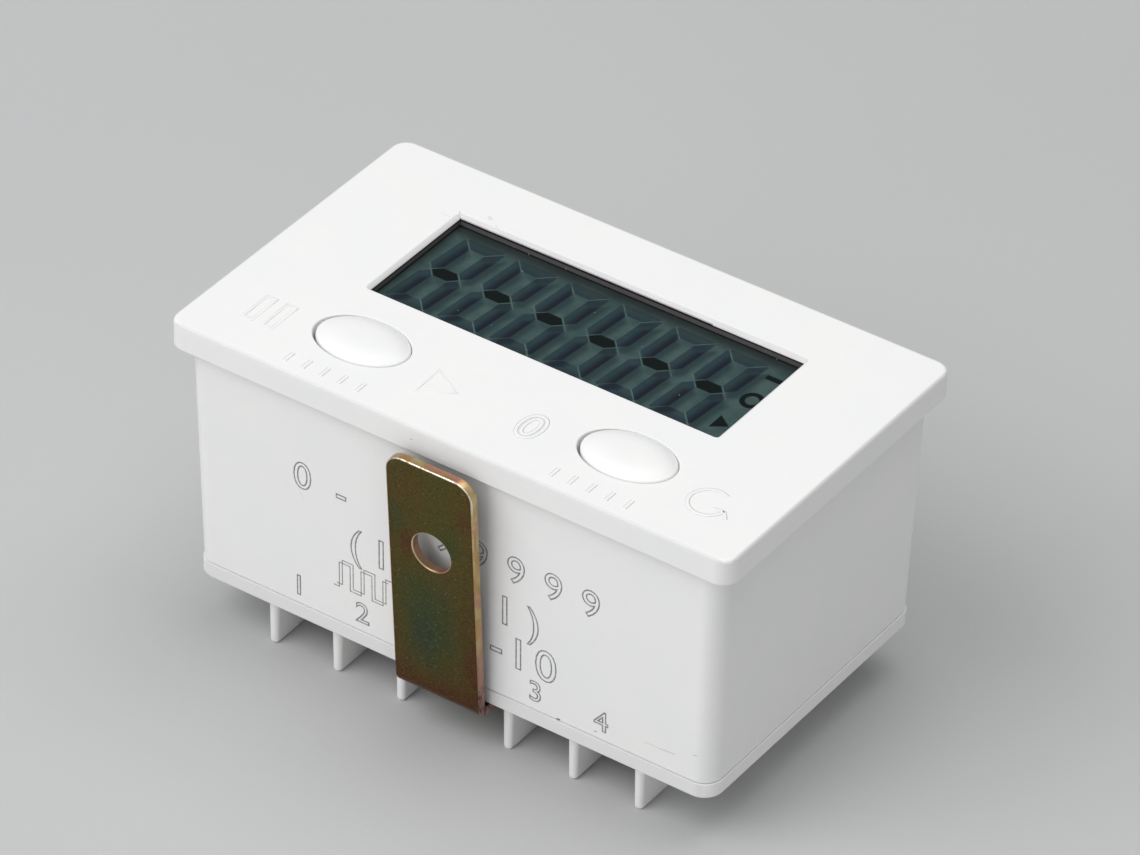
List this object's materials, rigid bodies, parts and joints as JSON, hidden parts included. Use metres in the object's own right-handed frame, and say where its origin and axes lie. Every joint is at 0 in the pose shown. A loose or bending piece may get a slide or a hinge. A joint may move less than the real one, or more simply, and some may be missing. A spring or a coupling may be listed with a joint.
{
  "type": "digital counter",
  "caption": "Panel-mount electronic counter: flanged white case with a reflective display, oval push buttons, a U-shaped clamping strap and screw terminals between rear barriers.",
  "frame": {"origin": "centre of the box round the object, in the plane of the barrier tips that it stands on", "axes": "+Z out of the display, +X along the long side, to the right for a reader, -Y towards the buttons and the terminals"},
  "size_m": [0.065, 0.043, 0.0366],
  "materials": {
    "case_plastic": "satin",
    "button_plastic": "satin",
    "dark_plastic": "matte",
    "display": "gloss",
    "glass": "gloss",
    "reflector": "satin",
    "rubber": "matte",
    "foam": "matte",
    "board": "satin",
    "black_plastic": "matte",
    "steel": "bright zinc",
    "brass": "satin",
    "yellow_zinc": "yellow zinc, satin",
    "wire": "satin"
  },
  "bodies": {
    "root": {"front_case": "case_plastic", "rear_cover": "case_plastic", "lcd_frame": "dark_plastic", "lcd_front_polarizer": "display", "lcd_front_glass": "glass", "lcd_rear_glass": "glass", "lcd_reflector": "reflector", "contact_strip": "rubber", "support_strip": "foam", "main_board": "board", "controller_chip": "black_plastic", "input_chip": "black_plastic", "capacitor": "black_plastic", "battery_holder": "black_plastic", "pause_switch": "steel", "reset_switch": "steel", "crystal": "steel", "battery": "steel", "battery_clip": "steel", "board_screw_1": "steel", "board_screw_2": "steel", "case_screw_1": "steel", "case_screw_2": "steel", "case_screw_3": "steel", "case_screw_4": "steel", "terminal_plate_1": "brass", "terminal_plate_2": "brass", "terminal_plate_3": "brass", "terminal_plate_4": "brass", "bracket_insert": "brass", "lead_1": "wire", "lead_2": "wire", "lead_3": "wire", "lead_4": "wire"},
    "pause_button": {"pause_button": "button_plastic", "pause_plunger": "black_plastic"},
    "reset_button": {"reset_button": "button_plastic", "reset_plunger": "black_plastic"},
    "strap": {"mounting_bracket": "yellow_zinc", "bracket_washer": "steel"},
    "strap_screw": {"bracket_screw": "steel"},
    "clamp_1": {"terminal_washer_1": "steel"},
    "clamp_screw_1": {"terminal_screw_1": "steel"},
    "clamp_2": {"terminal_washer_2": "steel"},
    "clamp_screw_2": {"terminal_screw_2": "steel"},
    "clamp_3": {"terminal_washer_3": "steel"},
    "clamp_screw_3": {"terminal_screw_3": "steel"},
    "clamp_4": {"terminal_washer_4": "steel"},
    "clamp_screw_4": {"terminal_screw_4": "steel"}
  },
  "joints": [
    {"name": "pause_press", "type": "slide", "parent": "root", "child": "pause_button", "axis": [0, 0, -1], "range_m": [0, 0.00035], "stiffness_N_per_m": 4000},
    {"name": "reset_press", "type": "slide", "parent": "root", "child": "reset_button", "axis": [0, 0, -1], "range_m": [0, 0.00035], "stiffness_N_per_m": 4000},
    {"name": "strap_slide", "type": "slide", "parent": "root", "child": "strap", "axis": [0, 0, -1], "range_m": [0, 0.005]},
    {"name": "strap_screw_turn", "type": "hinge", "parent": "strap", "child": "strap_screw", "pos_m": [0, 0, 0.0038], "axis": [0, 0, -1], "range_deg": [0, 3600]},
    {"name": "clamp_slide_1", "type": "slide", "parent": "root", "child": "clamp_1", "axis": [0, 0, -1], "range_m": [0, 0.002]},
    {"name": "clamp_screw_turn_1", "type": "hinge", "parent": "clamp_1", "child": "clamp_screw_1", "pos_m": [-0.01784, -0.0119, 0.0038], "axis": [0, 0, -1], "range_deg": [0, 1440]},
    {"name": "clamp_slide_2", "type": "slide", "parent": "root", "child": "clamp_2", "axis": [0, 0, -1], "range_m": [0, 0.002]},
    {"name": "clamp_screw_turn_2", "type": "hinge", "parent": "clamp_2", "child": "clamp_screw_2", "pos_m": [-0.01019, -0.0119, 0.0038], "axis": [0, 0, -1], "range_deg": [0, 1440]},
    {"name": "clamp_slide_3", "type": "slide", "parent": "root", "child": "clamp_3", "axis": [0, 0, -1], "range_m": [0, 0.002]},
    {"name": "clamp_screw_turn_3", "type": "hinge", "parent": "clamp_3", "child": "clamp_screw_3", "pos_m": [0.01019, -0.0119, 0.0038], "axis": [0, 0, -1], "range_deg": [0, 1440]},
    {"name": "clamp_slide_4", "type": "slide", "parent": "root", "child": "clamp_4", "axis": [0, 0, -1], "range_m": [0, 0.002]},
    {"name": "clamp_screw_turn_4", "type": "hinge", "parent": "clamp_4", "child": "clamp_screw_4", "pos_m": [0.01784, -0.0119, 0.0038], "axis": [0, 0, -1], "range_deg": [0, 1440]}
  ],
  "couplings": [
    {"joint": "strap_screw_turn", "follows": "strap_slide", "rad_per_m": 12566},
    {"joint": "clamp_screw_turn_1", "follows": "clamp_slide_1", "rad_per_m": 12566},
    {"joint": "clamp_screw_turn_2", "follows": "clamp_slide_2", "rad_per_m": 12566},
    {"joint": "clamp_screw_turn_3", "follows": "clamp_slide_3", "rad_per_m": 12566},
    {"joint": "clamp_screw_turn_4", "follows": "clamp_slide_4", "rad_per_m": 12566}
  ]
}
